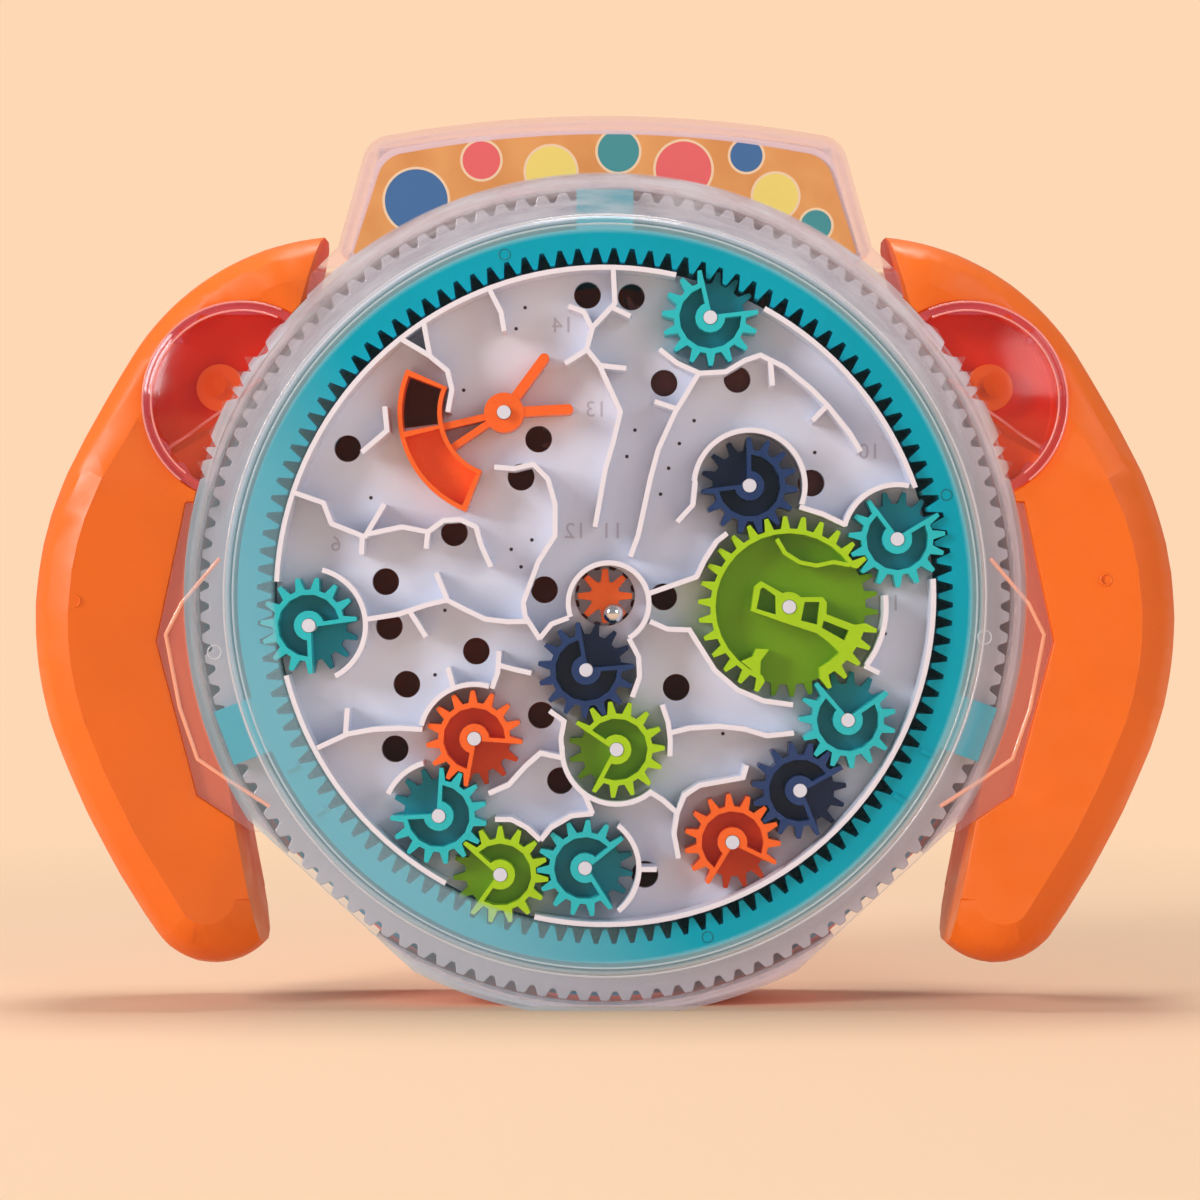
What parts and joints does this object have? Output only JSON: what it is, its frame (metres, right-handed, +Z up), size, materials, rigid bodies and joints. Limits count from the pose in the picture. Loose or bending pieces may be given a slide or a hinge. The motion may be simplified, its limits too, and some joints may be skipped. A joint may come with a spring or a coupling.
{
  "type": "gear maze toy",
  "caption": "Round ball maze with meshed gears turned by a toothed ring, a swing gate and a steel ball under a clear cover, held by two curved side grips.",
  "frame": {"origin": "middle of the flat foot under the round case", "axes": "+Z up, front towards -Y, +X to the right as seen from the front; the ring and gears turn about axes along Y"},
  "size_m": [0.2558, 0.0384, 0.1973],
  "materials": {
    "orange_plastic": "glossy moulded, orange",
    "clear_plastic": "clear, glossy",
    "white_plastic": "smooth moulded, cool white",
    "ring_teal": "satin moulded, teal",
    "clear_ring": "translucent, smooth",
    "gear_teal": "smooth moulded, light teal",
    "gear_lime": "smooth moulded, lime",
    "gear_navy": "smooth moulded, navy",
    "gear_orange": "smooth moulded, orange",
    "card": "printed card, tan with round spots",
    "steel": "plain steel",
    "ball_steel": "polished steel"
  },
  "bodies": {
    "case": {"rear_shell": "orange_plastic", "right_grip_front": "orange_plastic", "left_grip_front": "orange_plastic", "right_grip_back": "orange_plastic", "left_grip_back": "orange_plastic", "front_cover": "clear_plastic", "head_card": "card", "maze_board": "white_plastic", "idler_pin": "steel", "case_screws": "steel"},
    "ring": {"drive_ring": "ring_teal", "finger_ring": "clear_ring"},
    "large_lime": {"gear_large_lime": "gear_lime"},
    "idler": {"rear_idler": "white_plastic"},
    "star": {"centre_star": "gear_orange", "rear_transfer_gear": "white_plastic"},
    "centre_navy": {"gear_centre_navy": "gear_navy", "centre_navy_axle": "white_plastic", "rear_navy_gear": "white_plastic"},
    "gate": {"swing_gate": "gear_orange"},
    "ball": {"steel_ball": "ball_steel"},
    "top_teal": {"gear_top_teal": "gear_teal"},
    "right_teal": {"gear_right_teal": "gear_teal"},
    "left_teal": {"gear_left_teal": "gear_teal"},
    "bottom_lime": {"gear_bottom_lime": "gear_lime"},
    "upper_navy": {"gear_upper_navy": "gear_navy"},
    "lower_right_teal": {"gear_lower_right_teal": "gear_teal"},
    "lower_navy": {"gear_lower_navy": "gear_navy"},
    "lower_orange": {"gear_lower_orange": "gear_orange"},
    "lower_left_teal": {"gear_lower_left_teal": "gear_teal"},
    "left_orange": {"gear_left_orange": "gear_orange"},
    "bottom_teal": {"gear_bottom_teal": "gear_teal"},
    "centre_lime": {"gear_centre_lime": "gear_lime"}
  },
  "joints": [
    {"name": "ring_turn", "type": "hinge", "parent": "case", "child": "ring", "pos_m": [0, -0.008, 0.0915], "axis": [0, -1, 0], "continuous": true},
    {"name": "top_teal_spin", "type": "hinge", "parent": "case", "child": "top_teal", "pos_m": [0.0232, -0.012, 0.15289], "axis": [0, -1, 0], "continuous": true},
    {"name": "right_teal_spin", "type": "hinge", "parent": "case", "child": "right_teal", "pos_m": [0.06442, -0.012, 0.10402], "axis": [0, -1, 0], "continuous": true},
    {"name": "left_teal_spin", "type": "hinge", "parent": "case", "child": "left_teal", "pos_m": [-0.0653, -0.012, 0.08498], "axis": [0, -1, 0], "continuous": true},
    {"name": "bottom_lime_spin", "type": "hinge", "parent": "case", "child": "bottom_lime", "pos_m": [-0.02309, -0.012, 0.03007], "axis": [0, -1, 0], "continuous": true},
    {"name": "large_lime_spin", "type": "hinge", "parent": "case", "child": "large_lime", "pos_m": [0.04059, -0.012, 0.08908], "axis": [0, -1, 0], "continuous": true},
    {"name": "upper_navy_spin", "type": "hinge", "parent": "case", "child": "upper_navy", "pos_m": [0.03186, -0.012, 0.11581], "axis": [0, -1, 0], "continuous": true},
    {"name": "lower_right_teal_spin", "type": "hinge", "parent": "case", "child": "lower_right_teal", "pos_m": [0.05354, -0.012, 0.06411], "axis": [0, -1, 0], "continuous": true},
    {"name": "lower_navy_spin", "type": "hinge", "parent": "case", "child": "lower_navy", "pos_m": [0.04297, -0.012, 0.04862], "axis": [0, -1, 0], "continuous": true},
    {"name": "lower_orange_spin", "type": "hinge", "parent": "case", "child": "lower_orange", "pos_m": [0.0281, -0.012, 0.0372], "axis": [0, -1, 0], "continuous": true},
    {"name": "lower_left_teal_spin", "type": "hinge", "parent": "case", "child": "lower_left_teal", "pos_m": [-0.03667, -0.012, 0.043], "axis": [0, -1, 0], "continuous": true},
    {"name": "left_orange_spin", "type": "hinge", "parent": "case", "child": "left_orange", "pos_m": [-0.02883, -0.012, 0.06004], "axis": [0, -1, 0], "continuous": true},
    {"name": "bottom_teal_spin", "type": "hinge", "parent": "case", "child": "bottom_teal", "pos_m": [-0.00439, -0.012, 0.03151], "axis": [0, -1, 0], "continuous": true},
    {"name": "idler_spin", "type": "hinge", "parent": "case", "child": "idler", "pos_m": [0.02063, -0.004, 0.12722], "axis": [0, -1, 0], "continuous": true},
    {"name": "star_spin", "type": "hinge", "parent": "case", "child": "star", "pos_m": [0, -0.012, 0.0915], "axis": [0, -1, 0], "continuous": true},
    {"name": "centre_navy_spin", "type": "hinge", "parent": "case", "child": "centre_navy", "pos_m": [-0.00417, -0.012, 0.07515], "axis": [0, -1, 0], "continuous": true},
    {"name": "centre_lime_spin", "type": "hinge", "parent": "case", "child": "centre_lime", "pos_m": [0.00255, -0.012, 0.05764], "axis": [0, -1, 0], "continuous": true},
    {"name": "gate_swing", "type": "hinge", "parent": "case", "child": "gate", "pos_m": [-0.0223, -0.012, 0.132], "axis": [0, -1, 0], "range_deg": [0, 30]},
    {"name": "ball_roll", "type": "slide", "parent": "case", "child": "ball", "axis": [0, 0, 1], "range_m": [0, 0.007]}
  ],
  "couplings": [
    {"joint": "top_teal_spin", "follows": "ring_turn", "ratio": 8},
    {"joint": "right_teal_spin", "follows": "ring_turn", "ratio": 8},
    {"joint": "left_teal_spin", "follows": "ring_turn", "ratio": 8},
    {"joint": "bottom_lime_spin", "follows": "ring_turn", "ratio": 8},
    {"joint": "large_lime_spin", "follows": "ring_turn", "ratio": -4},
    {"joint": "upper_navy_spin", "follows": "ring_turn", "ratio": 8},
    {"joint": "lower_right_teal_spin", "follows": "ring_turn", "ratio": 8},
    {"joint": "lower_navy_spin", "follows": "ring_turn", "ratio": -8},
    {"joint": "lower_orange_spin", "follows": "ring_turn", "ratio": 8},
    {"joint": "lower_left_teal_spin", "follows": "ring_turn", "ratio": -8},
    {"joint": "left_orange_spin", "follows": "ring_turn", "ratio": 8},
    {"joint": "bottom_teal_spin", "follows": "ring_turn", "ratio": -8},
    {"joint": "idler_spin", "follows": "ring_turn", "ratio": 2.2222},
    {"joint": "star_spin", "follows": "ring_turn", "ratio": -10},
    {"joint": "centre_navy_spin", "follows": "ring_turn", "ratio": 8},
    {"joint": "centre_lime_spin", "follows": "ring_turn", "ratio": -8}
  ]
}
